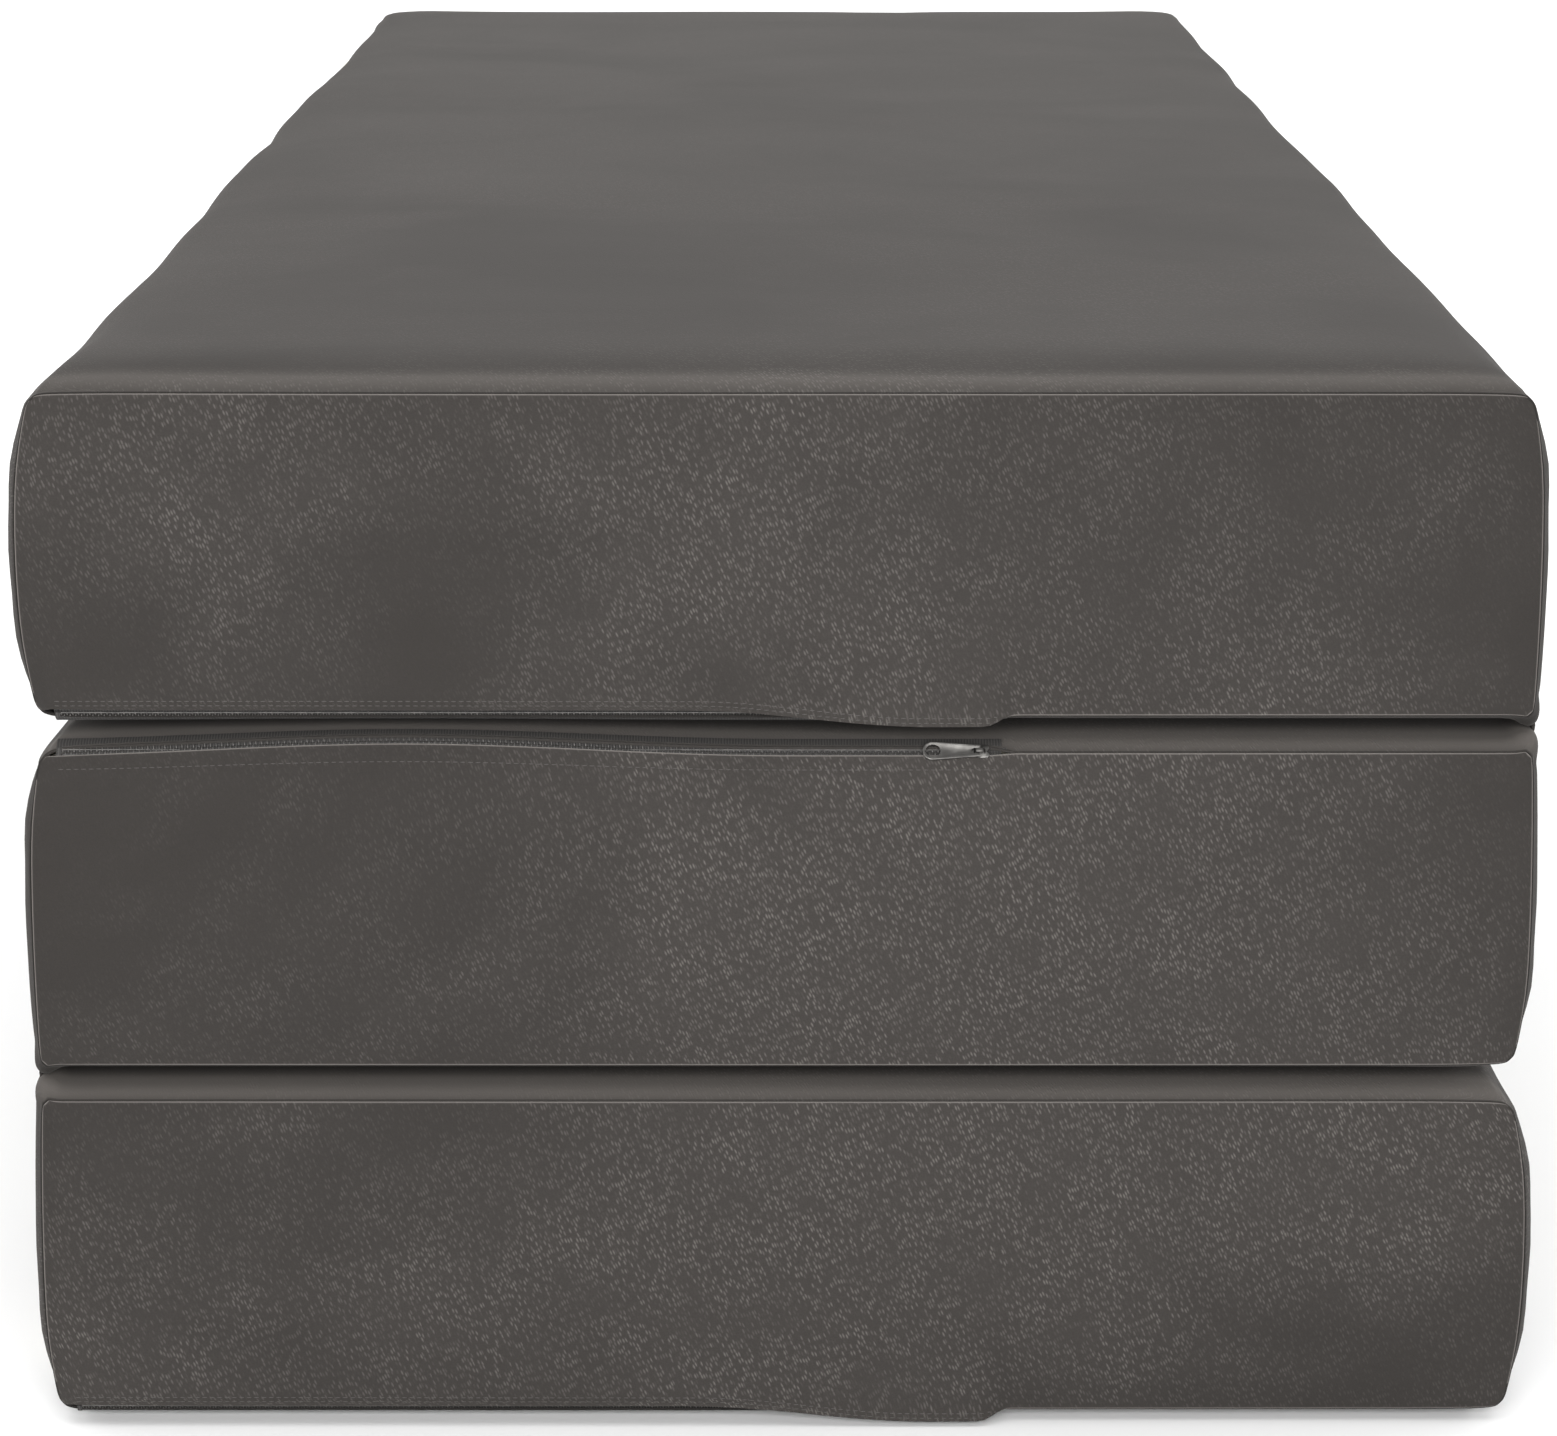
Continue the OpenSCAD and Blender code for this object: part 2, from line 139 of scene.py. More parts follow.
side_swell_free, side_swell_hinge, side_reach, side_flat = 0.0055, 0.0029, 0.06, 0.012
hinge_fullness, edge_fullness, swell_wave = 0.45, 0.8, 0.2
corner_draw, corner_reach, corner_height = 0.0065, 0.03, 0.042
corner_scallop, corner_sink, corner_sewn = 0.4, 0.3, 0.55
notch_move = Vector((0.0012, 0, 0.0052))
fold_rise, fold_x, fold_wide, fold_deep = 0.0052, -0.16, 0.16, 0.12
fold_drop, fold_over, fold_under = 0.008, 0.016, 0.055
puff_cap, puff_pressure, puff_frames = 0.003, 4, 20
wave_size, wave_height, wave_place = 0.16, 0.0012, Vector((3, 7, 1))
# Painted light: how strongly a hanging flap takes the painted highlight off its seam, the share of the
# painted roll shading that the top panel's upper roll keeps, and the reach near the ends over which that
# shading fades in
flap_shade, top_roll_shading_share, roll_shading_reach = 1.2, 0.52, 0.02


def smooth(t):
    """Eases from 0 to 1 while t goes from 0 to 1."""
    t = min(max(t, 0), 1)
    return t * t * (3 - 2 * t)


def arch(t):
    """1 in the middle, and down to 0 where t reaches -1 and 1."""
    return math.cos(math.pi / 2 * min(max(t, -1), 1))


# Lowest and highest level of each panel along its edges, where its faces don't rise
levels = {}
for panel in panel_names:
    lo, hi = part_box(panel + "_cover")
    levels[panel] = (lo.z + (0 if panel == "bottom" else crown), hi.z - crown)
fold_level = (levels["middle"][1] + levels["top"][0]) / 2


def cut_across(axis, places):
    """Cuts the mesh in edit mode by planes square to an axis."""
    normal = Vector((0, 0, 0))
    normal[axis] = 1
    for place in places:
        bpy.ops.mesh.select_all(action="SELECT")
        bpy.ops.mesh.bisect(plane_co=normal * place, plane_no=normal)


def even_places(lo, hi, step):
    """Where to cut a length so that its parts are equal and about one step long."""
    count = round((hi - lo) / step)
    return [lo + (hi - lo) * k / count for k in range(1, count)]


def round_block(name, lo, hi, extra_x=(), extra_z=(), cell=(cell_x, cell_y, cell_z), radius=roll_r):
    """A block cut into cells, with its edges rolled over."""
    bpy.ops.mesh.primitive_cube_add(size=1, location=(lo + hi) / 2, scale=hi - lo)
    block = bpy.context.object
    block.name = block.data.name = name
    bpy.ops.object.transform_apply(location=True, rotation=False, scale=True)
    bpy.ops.object.mode_set(mode="EDIT")
    cut_across(0, even_places(lo.x, hi.x, cell[0]) + list(extra_x))
    cut_across(1, even_places(lo.y, hi.y, cell[1]))
    cut_across(2, even_places(lo.z, hi.z, cell[2]) + list(extra_z))
    bpy.ops.mesh.select_mode(type="EDGE")
    bpy.ops.mesh.select_all(action="DESELECT")
    bpy.ops.mesh.edges_select_sharp(sharpness=math.radians(60))
    bpy.ops.mesh.bevel(offset=radius, segments=roll_steps, profile=0.5, affect="EDGES")
    bpy.ops.object.mode_set(mode="OBJECT")
    return block


def cloth_map(mesh, lo, hi):
    """Writes where each corner lies on the flat cloth, in metres: round the panel and along it."""
    middle = (lo + hi) / 2
    half_t = (hi.z - lo.z) / 2
    quarter = half_w + half_t
    layer = mesh.uv_layers.new(name="cloth")
    mesh.uv_layers.active = layer
    for face in mesh.polygons:
        if abs(face.center.y) > seam_y:
            for corner in face.loop_indices:
                p = mesh.vertices[mesh.loops[corner].vertex_index].co
                layer.data[corner].uv = (p.x, p.z)
            continue
        places = []
        for corner in face.loop_indices:
            p = mesh.vertices[mesh.loops[corner].vertex_index].co
            x, z = p.x, p.z - middle.z
            if abs(x) / half_w >= abs(z) / half_t:
                s = quarter - z if x > 0 else z - quarter
            elif z > 0:
                s = x
            else:
                s = 2 * quarter - x if x > 0 else -2 * quarter - x
            places.append([s, p.y])
        if max(s for s, _ in places) - min(s for s, _ in places) > quarter:
            places = [[s + 4 * quarter if s < 0 else s, y] for s, y in places]
        for corner, place in zip(face.loop_indices, places):
            layer.data[corner].uv = place


def fold_lift(x, y, z):
    """The slow rise of the fold between the top and the middle panel, behind the open zip end."""
    over = z - fold_level + fold_drop
    near = smooth(1 - over / fold_over) if over > 0 else smooth(1 + over / fold_under)
    near *= smooth(1 - (half_l + y) / fold_deep) * smooth(1 - abs(x - fold_x) / fold_wide)
    return fold_rise * near


def rest_swell(panel, p, lo, hi):
    """How far the foam pushes the cloth out at a point, with the slow unevenness of a sewn cover."""
    middle = (lo + hi) / 2
    half_t = (hi.z - lo.z) / 2
    across, along, up = p.x / half_w, p.y / half_l, (p.z - middle.z) / half_t
    side, rise = (1 if p.x > 0 else -1), (1 if up > 0 else -1)
    hinge = (panel, side, rise) in hinge_corners
    free_side = not hinge and (panel, side, -rise) not in hinge_corners
    on_end = smooth((abs(p.y) - half_l + end_reach) / end_reach)
    wave = noise.noise(p / wave_size + wave_place + Vector((0, 0, hi.z)))
    bulge = (side_swell_free if free_side else side_swell_hinge) * (1 + swell_wave * wave)
    puff = arch(up) if free_side else arch(up) ** (hinge_fullness if hinge else edge_fullness)
    near_side = smooth((abs(p.x) - half_w + side_reach) / (side_reach - side_flat))
    lies = 0 if panel == "bottom" and rise < 0 else crown
    move = Vector((0, 0, 0))
    move.x = side * near_side * puff * bulge
    move.y = (1 if p.y > 0 else -1) * on_end * end_swell * arch(across) * arch(up)
    move.z = rise * smooth((abs(up) - 0.5) / 0.4) * lies * arch(across) * arch(along)
    if panel == "top" and rise > 0:
        move.z += smooth((up - 0.5) / 0.4) * wave_height * wave * arch(along) ** 0.25
    corner = smooth(1 - (half_w - abs(p.x)) / corner_reach)
    corner *= smooth(1 - half_t * (1 - abs(up)) / corner_height)
    if hinge:
        arm = roll_arm(p, lo, hi)
        into = 2 * abs(arm.x * arm.z) / roll_r ** 2
        move += Vector((side * notch_move.x * into, 0, rise * notch_move.z * into))
    else:
        scallop = 1 + corner_scallop * noise.noise(Vector((side * 2, p.y / 0.11, hi.z)))
        drawn = corner_draw * scallop * corner * (corner_sewn if abs(p.y) > seam_y - 1e-6 else 1)
        move += Vector((-side * drawn, 0, -rise * corner_sink * drawn))
    move.z += fold_lift(p.x, p.y, p.z)
    return move


def roll_arm(p, lo, hi):
    """From the middle line of the roll, or of the flat cloth under it, out to a point."""
    return Vector(v - min(max(v, a + roll_r), b - roll_r) for v, a, b in zip(p, lo, hi))


def blown_up(skin, pinned):
    """Blows the cloth up a little from inside, held along the seams, and gives each point's move."""
    skin.vertex_groups.new(name="sewn").add(pinned, 1, "REPLACE")
    cloth = skin.modifiers.new("cloth", "CLOTH")
    cloth.settings.quality = 4
    cloth.settings.mass = 0.3
    cloth.settings.tension_stiffness = cloth.settings.compression_stiffness = 15
    cloth.settings.bending_stiffness = 2
    cloth.settings.use_pressure = True
    cloth.settings.uniform_pressure_force = puff_pressure
    cloth.settings.vertex_group_mass = "sewn"
    cloth.settings.effector_weights.gravity = 0
    cloth.point_cache.frame_start, cloth.point_cache.frame_end = 1, puff_frames
    for frame_number in range(1, puff_frames + 1):
        bpy.context.scene.frame_set(frame_number)
    blown = skin.evaluated_get(bpy.context.evaluated_depsgraph_get()).data.vertices
    moves = [after.co - before.co for before, after in zip(skin.data.vertices, blown)]
    skin.modifiers.remove(cloth)
    bpy.context.scene.frame_set(1)
    return moves


def limited(move, cap):
    """Shortens a move smoothly, so that it stays under the cap."""
    return move * (cap * math.tanh(move.length / cap) / move.length) if move.length > 1e-9 else move


def on_zip(panel, p, middle_z):
    """1 along the zip opening, easing to 0 past its ends."""
    if p.y > 0 or (p.z - middle_z) * zip_side[panel] < 0:
        return 0
    return smooth((p.x - zip_x0 + slot_ease) / slot_ease) * smooth((zip_x1 + slot_ease - p.x) / slot_ease)


def flap_level(x):
    """Height of the flap's edge over the lying face: it hangs lower over the parked slider."""
    over_slider = smooth(1 - (sag_x0 - x) / sag_left) * smooth(1 - (x - sag_x1) / sag_right)
    return flap_edge - flap_sag * over_slider


def sewn_place(panel, p, lo, hi, is_wrap):
    """Moves a point of the roll to its side of the seam, and to its edge of the zip opening."""
    arm = roll_arm(p, lo, hi)
    end = 1 if p.y > 0 else -1
    flat_arm = Vector((arm.x, 0, arm.z))
    zipped = on_zip(panel, p, (lo.z + hi.z) / 2)
    if is_wrap and arm.y * end < 1e-6 or flat_arm.length < 1e-6:
        place = p.copy()
    else:
        tilt = math.atan2(flat_arm.length, arm.y * end)
        rim = abs(tilt - seam_tilt) < 1e-3
        opened_or_painted_sheen = zipped * math.asin((wrap_slot[panel] if is_wrap else front_slot) / roll_r)
        gap = math.asin(seam_half_w / roll_r) + opened_or_painted_sheen
        if is_wrap:
            tilt += gap * min(max((rest_tilt - tilt) / (rest_tilt - seam_tilt), 0), 1)
        else:
            tilt -= gap * tilt / seam_tilt
        if not rim:
            reach = roll_r
        elif is_wrap:
            reach = roll_r - seam_depth * (1 - 0.7 * zipped)
        else:
            reach = roll_r + seam_ridge
        out = flat_arm.normalized()
        place = p - arm + (out * math.sin(tilt) + Vector((0, end * math.cos(tilt), 0))) * reach
    if not is_wrap and zip_side[panel] < 0 and zipped > 0:
        over = p.z - lo.z
        down = min(max((roll_r - over) / (roll_r * math.sin(seam_tilt)), 0), 1)
        hangs = zipped if over < roll_r else 0
        place.y += (-half_l - place.y) * hangs
        place.y -= flap_stand * smooth((flap_rise + roll_r - over) / flap_rise) * zipped
        place.z += (lo.z + roll_r - (roll_r - flap_level(p.x)) * down - place.z) * hangs
    return place


def set_active(piece):
    """Makes a piece the only selected one, for the operators that follow."""
    bpy.ops.object.select_all(action="DESELECT")
    bpy.context.view_layer.objects.active = piece
    piece.select_set(True)


def split_off(skin, name, wanted):
    """Takes the faces that are wanted off into a piece of their own."""
    set_active(skin)
    for face in skin.data.polygons:
        face.select = wanted(face)
    bpy.ops.object.mode_set(mode="EDIT")
    bpy.ops.mesh.separate(type="SELECTED")
    bpy.ops.object.mode_set(mode="OBJECT")
    piece = [o for o in bpy.context.selected_objects if o is not skin][0]
    piece.name = piece.data.name = name
    return piece


def finish_cloth(piece):
    """Smooths a piece of cloth and gives it its thickness and its turned edge."""
    set_active(piece)
    smoothing = piece.modifiers.new("smoothing", "SUBSURF")
    smoothing.levels = smoothing.render_levels = 1
    thickness = piece.modifiers.new("thickness", "SOLIDIFY")
    thickness.thickness, thickness.offset = cloth_t, -1
    turned_edge = piece.modifiers.new("turned_edge", "BEVEL")
    turned_edge.width, turned_edge.segments = cloth_rim, 2
    turned_edge.limit_method, turned_edge.angle_limit = "ANGLE", math.radians(55)
    for modifier in ("smoothing", "thickness", "turned_edge"):
        bpy.ops.object.modifier_apply(modifier=modifier)
    bpy.ops.object.shade_smooth_by_angle(angle=math.radians(40))


def shade(material, kind, sockets, **settings):
    """Adds a node to a material. A socket takes a value or the output of another node."""
    node = material.node_tree.nodes.new("ShaderNode" + kind)
    for name, value in settings.items():
        setattr(node, name, value)
    for name, value in sockets.items():
        if isinstance(value, bpy.types.NodeSocket):
            material.node_tree.links.new(value, node.inputs[name])
        else:
            node.inputs[name].default_value = value
    return node


def between(material, value, low, high):
    """0 where the value is under low, 1 where it is over high, and smooth in between."""
    sockets = {"Value": value, "From Min": low, "From Max": high}
    return shade(material, "MapRange", sockets, interpolation_type="SMOOTHSTEP").outputs["Result"]


def times(material, a, b):
    """The product of two node outputs or values."""
    return shade(material, "Math", {0: a, 1: b}, operation="MULTIPLY").outputs["Value"]


def mixed(material, share, a, b):
    """Colour a, with a share of colour b in it."""
    return shade(material, "Mix", {0: share, 6: a, 7: b}, data_type="RGBA").outputs[2]


def velvet_material():
    """Crushed velvet: its pile leans apart in patches, and tufts catch the light in the pale ones."""
    velvet = bpy.data.materials.new("warm_grey_velvet")
    velvet.use_nodes = True
    shader = velvet.node_tree.nodes["Principled BSDF"]
    place = shade(velvet, "TexCoord", {}).outputs["Object"]
    flat = shade(velvet, "UVMap", {}, uv_map="cloth").outputs["UV"]
    sockets = {"Vector": place, "Scale": 4.2, "Detail": 4, "Roughness": 0.55, "Distortion": 0.4}
    pile_lay = between(velvet, shade(velvet, "TexNoise", sockets).outputs["Fac"], 0.32, 0.62)
    sockets = {"Vector": place, "Scale": 30, "Detail": 3, "Roughness": 0.6}
    pile_clump = between(velvet, shade(velvet, "TexNoise", sockets).outputs["Fac"], 0.15, 0.62)
    # The lying faces are pressed smooth, and the tufts stand up on the ends and the long sides
    spot = shade(velvet, "SeparateXYZ", {"Vector": place})
    from_end = shade(velvet, "Math", {0: spot.outputs["Y"]}, operation="ABSOLUTE").outputs["Value"]
    from_side = shade(velvet, "Math", {0: spot.outputs["X"]}, operation="ABSOLUTE").outputs["Value"]
    sockets = {0: between(velvet, from_end, 0.770, 0.790), 1: between(velvet, from_side, 0.295, 0.315)}
    unpressed = shade(velvet, "Math", sockets, operation="MAXIMUM").outputs["Value"]
    sockets = {"Value": unpressed, "To Min": 0.3, "To Max": 1.0}
    unpressed = shade(velvet, "MapRange", sockets).outputs["Result"]
    stretched = shade(velvet, "Mapping", {"Vector": flat, "Scale": (4, 30, 1), "Rotation": (0, 0, 0.05)})
    sockets = {"Vector": stretched.outputs["Vector"], "Scale": 1, "Detail": 3, "Roughness": 0.6}
    streak = shade(velvet, "TexNoise", sockets, noise_dimensions="2D").outputs["Fac"]
    sockets = {"Vector": flat, "Scale": (0.0012, 0.0033, 1), "Rotation": (0, 0, 0.42)}
    leaning = shade(velvet, "Mapping", sockets, vector_type="TEXTURE").outputs["Vector"]
    sockets = {"Vector": leaning, "Scale": 1, "Randomness": 0.7}
    tufts = shade(velvet, "TexVoronoi", sockets, voronoi_dimensions="2D")
    tuft_luck = shade(velvet, "SeparateColor", {"Color": tufts.outputs["Color"]}).outputs["Red"]
    tuft_shape = between(velvet, tufts.outputs["Distance"], 0.5, 0.08)
    tuft = times(velvet, tuft_shape, between(velvet, tuft_luck, 0.15, 0.95))
    tuft = times(velvet, times(velvet, tuft, unpressed), times(velvet, pile_lay, pile_clump))
    sockets = {"Vector": place, "Scale": 1300, "Detail": 1}
    pile = shade(velvet, "TexNoise", sockets).outputs["Fac"]
    ground = mixed(velvet, pile_lay, (0.0265, 0.0239, 0.0219, 1), (0.0405, 0.0365, 0.0337, 1))
    ground = mixed(velvet, times(velvet, streak, 0.5), ground, (0.0365, 0.0330, 0.0303, 1))
    ground = mixed(velvet, times(velvet, pile, 0.45), ground, (0.0157, 0.0141, 0.0130, 1))
    colour = mixed(velvet, tuft, ground, (0.098, 0.090, 0.084, 1))
    # Painted light and shade near the ends of the wrap: over its upper roll a painted highlight, for the
    # pile's sheen in the shade under the panel above, and under its lower roll painted shade. Along each
    # seam, a painted highlight on the end panel's edge and painted shade on the wrap's edge.
    painted_roll_shading = shade(velvet, "Attribute", {}, attribute_name="painted_roll_shading").outputs["Fac"]
    hanging_in_shade = times(velvet, between(velvet, painted_roll_shading, 0.0, -0.7), 0.5)
    colour = mixed(velvet, hanging_in_shade, colour, (0.010, 0.0092, 0.0085, 1))
    opened_or_painted_sheen = times(velvet, between(velvet, painted_roll_shading, 0.0, 1.0), 0.8)
    colour = mixed(velvet, opened_or_painted_sheen, colour, (0.125, 0.114, 0.105, 1))
    # Painted highlight on the end panel's edge of a seam, and painted shade on the wrap's edge
    rim = shade(velvet, "Attribute", {}, attribute_name="rim").outputs["Fac"]
    painted_rim_highlight = times(velvet, between(velvet, rim, 0.35, 1.0), 0.75)
    colour = mixed(velvet, painted_rim_highlight, colour, (0.17, 0.157, 0.147, 1))
    painted_seam_shade = times(velvet, between(velvet, rim, -0.3, -1.0), 0.7)
    colour = mixed(velvet, painted_seam_shade, colour, (0.012, 0.011, 0.010, 1))
    velvet.node_tree.links.new(colour, shader.inputs["Base Color"])
    sockets = {0: pile, 1: times(velvet, tuft, 2.0)}
    height = shade(velvet, "Math", sockets, operation="ADD").outputs["Value"]
    bump = shade(velvet, "Bump", {"Height": height, "Strength": 0.35, "Distance": 0.0003})
    velvet.node_tree.links.new(bump.outputs["Normal"], shader.inputs["Normal"])
    shader.inputs["Roughness"].default_value = 0.88
    shader.inputs["Specular IOR Level"].default_value = 0.15
    shader.inputs["Sheen Weight"].default_value = 0.05
    shader.inputs["Sheen Roughness"].default_value = 0.35
    shader.inputs["Sheen Tint"].default_value = (1.0, 0.95, 0.91, 1)
    return velvet


def give_material(piece, material):
    piece.data.materials.clear()
    piece.data.materials.append(material)


velvet = velvet_material()
fronts = {}
for panel in panel_names:
    level_lo, level_hi = levels[panel]
    middle_z = (level_lo + level_hi) / 2
    lo, hi = Vector((-half_w, -half_l, level_lo)), Vector((half_w, half_l, level_hi))
    rim_x = [zip_x0 + 0.0005, zip_x1 - 0.0005, zip_x1 + slot_ease / 2, zip_x1 + slot_ease]
    if zip_side[panel] < 0:
        rim_x += [sag_x0, (sag_x0 + sag_x1) / 2]
    hem_z = [(level_hi - cut if zip_side[panel] > 0 else level_lo + cut) for cut in hem_cuts]
    wrap = round_block(panel + "_wrap", lo, hi, rim_x, hem_z)
    bpy.ops.object.mode_set(mode="EDIT")
    cut_across(1, [-seam_y, seam_y])
    bpy.ops.object.mode_set(mode="OBJECT")
    mesh = wrap.data
    cloth_map(mesh, lo, hi)
    flat = [v.co.copy() for v in mesh.vertices]
    swell = [rest_swell(panel, p, lo, hi) for p in flat]
    for v, move in zip(mesh.vertices, swell):
        v.co += move
    seam = [i for i, p in enumerate(flat) if abs(abs(p.y) - seam_y) < 1e-6]
    swell = [a + limited(b, puff_cap) for a, b in zip(swell, blown_up(wrap, seam))]
    for v, p in zip(mesh.vertices, flat):
        v.co = p
    # The foam lies on its neighbours, so a lying face rises no further than its crown
    for p, move in zip(flat, swell):
        roof = crown * arch(p.x / half_w) * arch(p.y / half_l)
        lift = fold_lift(p.x, p.y, p.z)
        side = 1 if p.x > 0 else -1
        drawn_in = [rise for rise in (-1, 1) if (panel, side, rise) in hinge_corners]
        on_edge = abs(p.x) > half_w - roll_r
        if panel != "top" and p.z > level_hi - roll_r and not (on_edge and 1 in drawn_in):
            move.z = min(move.z, level_hi + roof + lift - p.z)
        if p.z < level_lo + roll_r and not (on_edge and -1 in drawn_in):
            move.z = max(move.z, level_lo - (0 if panel == "bottom" else roof) + lift - p.z)
        if drawn_in:
            reach = half_w + side_swell_hinge
            move.x = min(max(move.x, -reach - p.x), reach - p.x)
    stored = mesh.attributes.new("swell", "FLOAT_VECTOR", "POINT")
    for i, move in enumerate(swell):
        stored.data[i].vector = move
    fronts[panel] = split_off(wrap, panel + "_front", lambda face: face.center.y < -seam_y)
    rear = split_off(wrap, panel + "_rear", lambda face: face.center.y > seam_y)
    for piece in (wrap, fronts[panel], rear):
        moves = [m.vector.copy() for m in piece.data.attributes["swell"].data]
        rim = piece.data.attributes.new("rim", "FLOAT", "POINT")
        painted_roll_shading = piece.data.attributes.new("painted_roll_shading", "FLOAT", "POINT")
        for v in piece.data.vertices:
            # Painted light at the seams: painted shade on the wrap's edge (-1) and a painted highlight on
            # the end panel's edge (1), which fades out where the flap hangs over a zip
            if abs(abs(v.co.y) - seam_y) < 1e-6:
                hanging_in_shade = on_zip(panel, v.co, middle_z) if zip_side[panel] < 0 else 0
                rim.data[v.index].value = -1 if piece is wrap else 1 - flap_shade * hanging_in_shade
            # Painted light and shade near the ends: lighter over the upper rolls, darker under the lower
            # ones
            if piece is wrap:
                turn = roll_arm(v.co, lo, hi).z / roll_r
                if panel == "top" and v.co.z > middle_z:
                    turn *= top_roll_shading_share
                near_end = smooth((abs(v.co.y) - half_l + end_reach) / roll_shading_reach)
                painted_roll_shading.data[v.index].value = turn * near_end
        for v, move in zip(piece.data.vertices, moves):
            v.co = sewn_place(panel, v.co, lo, hi, piece is wrap) + move
        finish_cloth(piece)
        give_material(piece, velvet)
        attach(piece, panel + "_panel")
    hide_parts(panel + "_cover")
    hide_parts(panel + "_front_panel")
    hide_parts(panel + "_rear_panel")

# Topstitching: two rows along the edge of each flap, and one under the open zip, in grey thread that
# is sunk a little in the pile.
stitch_pitch, stitch_l, stitch_r, stitch_sunk = 0.0032, 0.0025, 0.00024, 0.0001
stitch_x0, stitch_x1 = -0.304, 0.094
flap_rows, open_row = (0.0018, 0.0038), 0.0128


def thread_material():
    """Spun polyester thread, a shade lighter than the velvet, with the twist of its strands."""
    thread = bpy.data.materials.new("grey_thread")
    thread.use_nodes = True
    shader = thread.node_tree.nodes["Principled BSDF"]
    place = shade(thread, "TexCoord", {}).outputs["Object"]
    sockets = {"Vector": place, "Scale": 900, "Distortion": 1}
    twist = shade(thread, "TexWave", sockets, bands_direction="DIAGONAL")
    colour = mixed(thread, twist.outputs["Fac"], (0.032, 0.029, 0.027, 1), (0.056, 0.051, 0.047, 1))
    thread.node_tree.links.new(colour, shader.inputs["Base Color"])
    shader.inputs["Roughness"].default_value = 0.7
    return thread


def join_all(pieces, name):
    """Joins pieces into one, under a new name."""
    set_active(pieces[0])
    for piece in pieces:
        piece.select_set(True)
    if len(pieces) > 1:
        bpy.ops.object.join()
    joined = bpy.context.object
    joined.name = joined.data.name = name
    return joined


def stitch_row(front, level):
    """A row of stitches laid on the front panel, each at the level that is given for its place."""
    bpy.ops.mesh.primitive_uv_sphere_add(segments=6, ring_count=4, radius=1, rotation=(0, math.pi / 2, 0))
    row = bpy.context.object
    row.scale = (stitch_r, stitch_r, stitch_l / 2)
    bpy.ops.object.transform_apply(location=True, rotation=True, scale=True)
    bpy.ops.object.shade_smooth()
    each = len(row.data.vertices)
    repeat = row.modifiers.new("repeat", "ARRAY")
    repeat.use_relative_offset, repeat.use_constant_offset = False, True
    repeat.constant_offset_displace = (stitch_pitch, 0, 0)
    repeat.count = int((stitch_x1 - stitch_x0) / stitch_pitch)
    bpy.ops.object.modifier_apply(modifier="repeat")
    moves = []
    for k in range(len(row.data.vertices) // each):
        x = stitch_x0 + k * stitch_pitch
        _, place, normal, _ = front.ray_cast(Vector((x, -half_l - 0.1, level(x))), Vector((0, 1, 0)))
        moves.append(place - normal * stitch_sunk - Vector((k * stitch_pitch, 0, 0)))
    for v in row.data.vertices:
        v.co += moves[v.index // each]
    return row


grey_thread = thread_material()
for panel in panel_names:
    level_lo, level_hi = levels[panel]
    front = fronts[panel]
    if zip_side[panel] < 0:
        rows = [stitch_row(front, lambda x, up=up: level_lo + flap_level(x) + up) for up in flap_rows]
    else:
        rows = [stitch_row(front, lambda x: level_hi - open_row + fold_lift(x, -half_l, level_hi))]
    stitches = join_all(rows, panel + "_stitches")
    give_material(stitches, grey_thread)
    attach(stitches, panel + "_panel")

# Foam: one cut block in each cover, which fills it and shows only where a zip is open.
foam_room, foam_cell, foam_r = 0.0042, 0.08, 0.02


def foam_material():
    """Open-cell foam, cream white with small pores."""
    foam = bpy.data.materials.new("cream_foam")
    foam.use_nodes = True
    shader = foam.node_tree.nodes["Principled BSDF"]
    place = shade(foam, "TexCoord", {}).outputs["Object"]
    pores = shade(foam, "TexVoronoi", {"Vector": place, "Scale": 900}).outputs["Distance"]
    colour = mixed(foam, between(foam, pores, 0.1, 0.6), (0.42, 0.38, 0.29, 1), (0.78, 0.73, 0.60, 1))
    foam.node_tree.links.new(colour, shader.inputs["Base Color"])
    bump = shade(foam, "Bump", {"Height": pores, "Strength": 0.5, "Distance": 0.0005})
    foam.node_tree.links.new(bump.outputs["Normal"], shader.inputs["Normal"])
    shader.inputs["Roughness"].default_value = 0.95
    return foam


cream_foam = foam_material()
for panel in panel_names:
    level_lo, level_hi = levels[panel]
    room = Vector((foam_room, foam_room, foam_room))
    lo = Vector((-half_w, -half_l, level_lo)) + room
    hi = Vector((half_w, half_l, level_hi)) - room
    cell = (foam_cell, foam_cell, foam_cell)
    block = round_block(panel + "_foam_block", lo, hi, cell=cell, radius=foam_r)
    set_active(block)
    bpy.ops.object.shade_smooth_by_angle(angle=math.radians(40))
    give_material(block, cream_foam)
    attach(block, panel + "_panel")
    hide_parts(panel + "_foam")

# Zips: nylon coils on woven tapes that are sewn under both edges of the opening, with a clamp at
# the open end and two stops at the closed one. The clamp and the stops keep their frame shapes.
coil_pitch, coil_half, coil_low, coil_high = 0.0024, 0.00185, 0.01068, 0.01165
coil_lap, coil_lean, wire_r, wire_sides, coil_sides = 0.0003, 0.18, 0.00017, 4, 12
cord_r, cord_inside, coil_x0, coil_end, slider_x = 0.00028, 2.2, -0.3035, 0.003, 0.0835
tape_r, tape_t, tape_half, tape_part, tape_edge = 0.0105, 0.0005, 0.0078, 0.00012, 0.004


def zip_place(panel):
    """Turns X along the zip and Z out of the cloth, from the middle line of the roll."""
    up = zip_side[panel]
    level = levels[panel][1] - roll_r if up > 0 else levels[panel][0] + roll_r
    turn = Matrix.Rotation(math.pi / 2 - up * seam_tilt, 4, "X")
    return Matrix.Translation((0, roll_r - half_l, level)) @ turn


